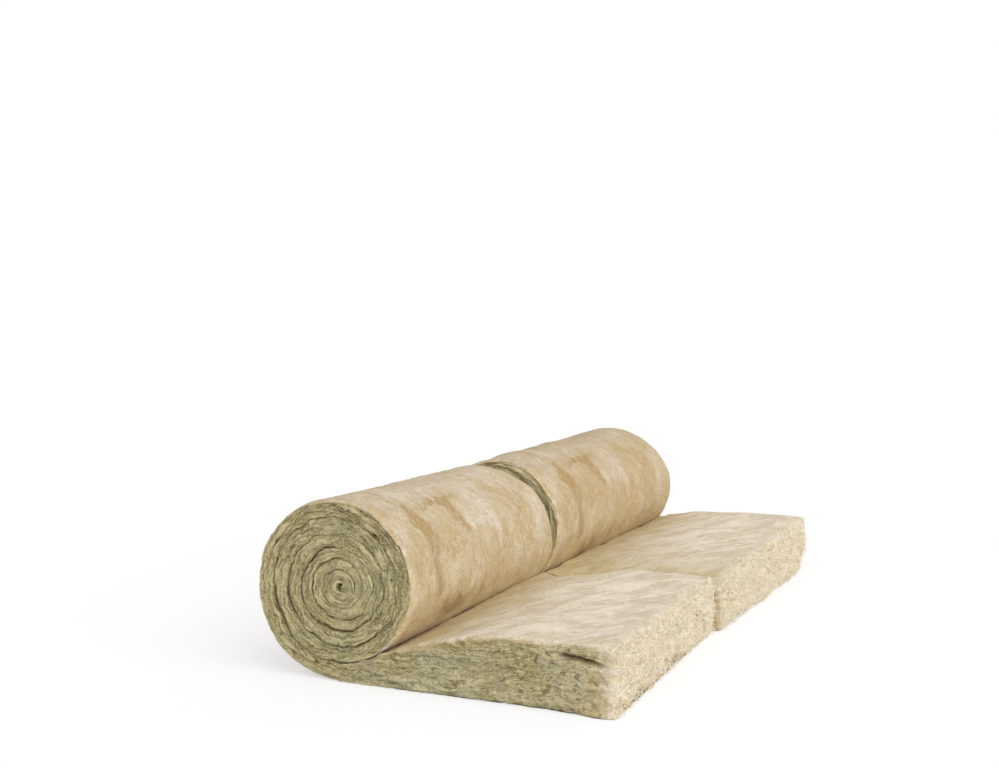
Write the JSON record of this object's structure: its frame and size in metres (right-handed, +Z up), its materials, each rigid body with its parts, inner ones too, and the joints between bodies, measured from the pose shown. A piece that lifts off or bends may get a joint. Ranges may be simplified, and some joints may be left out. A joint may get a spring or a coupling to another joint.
{
  "type": "insulation roll",
  "caption": "Partly unrolled roll of mineral wool insulation, slit across into mats wound side by side, with thick free ends lying flat on the floor.",
  "frame": {"origin": "on the floor, at the middle of the space the roll and its free ends take up, in the slit between the mats", "axes": "+X towards the free ends of the mats, +Y along the roll's axis towards the rear mat, +Z up"},
  "size_m": [0.6556, 1.2204, 0.298],
  "materials": {
    "wool": "matte, fibrous mineral wool"
  },
  "bodies": {
    "root": {"front_mat": "wool", "rear_mat": "wool"}
  },
  "joints": []
}
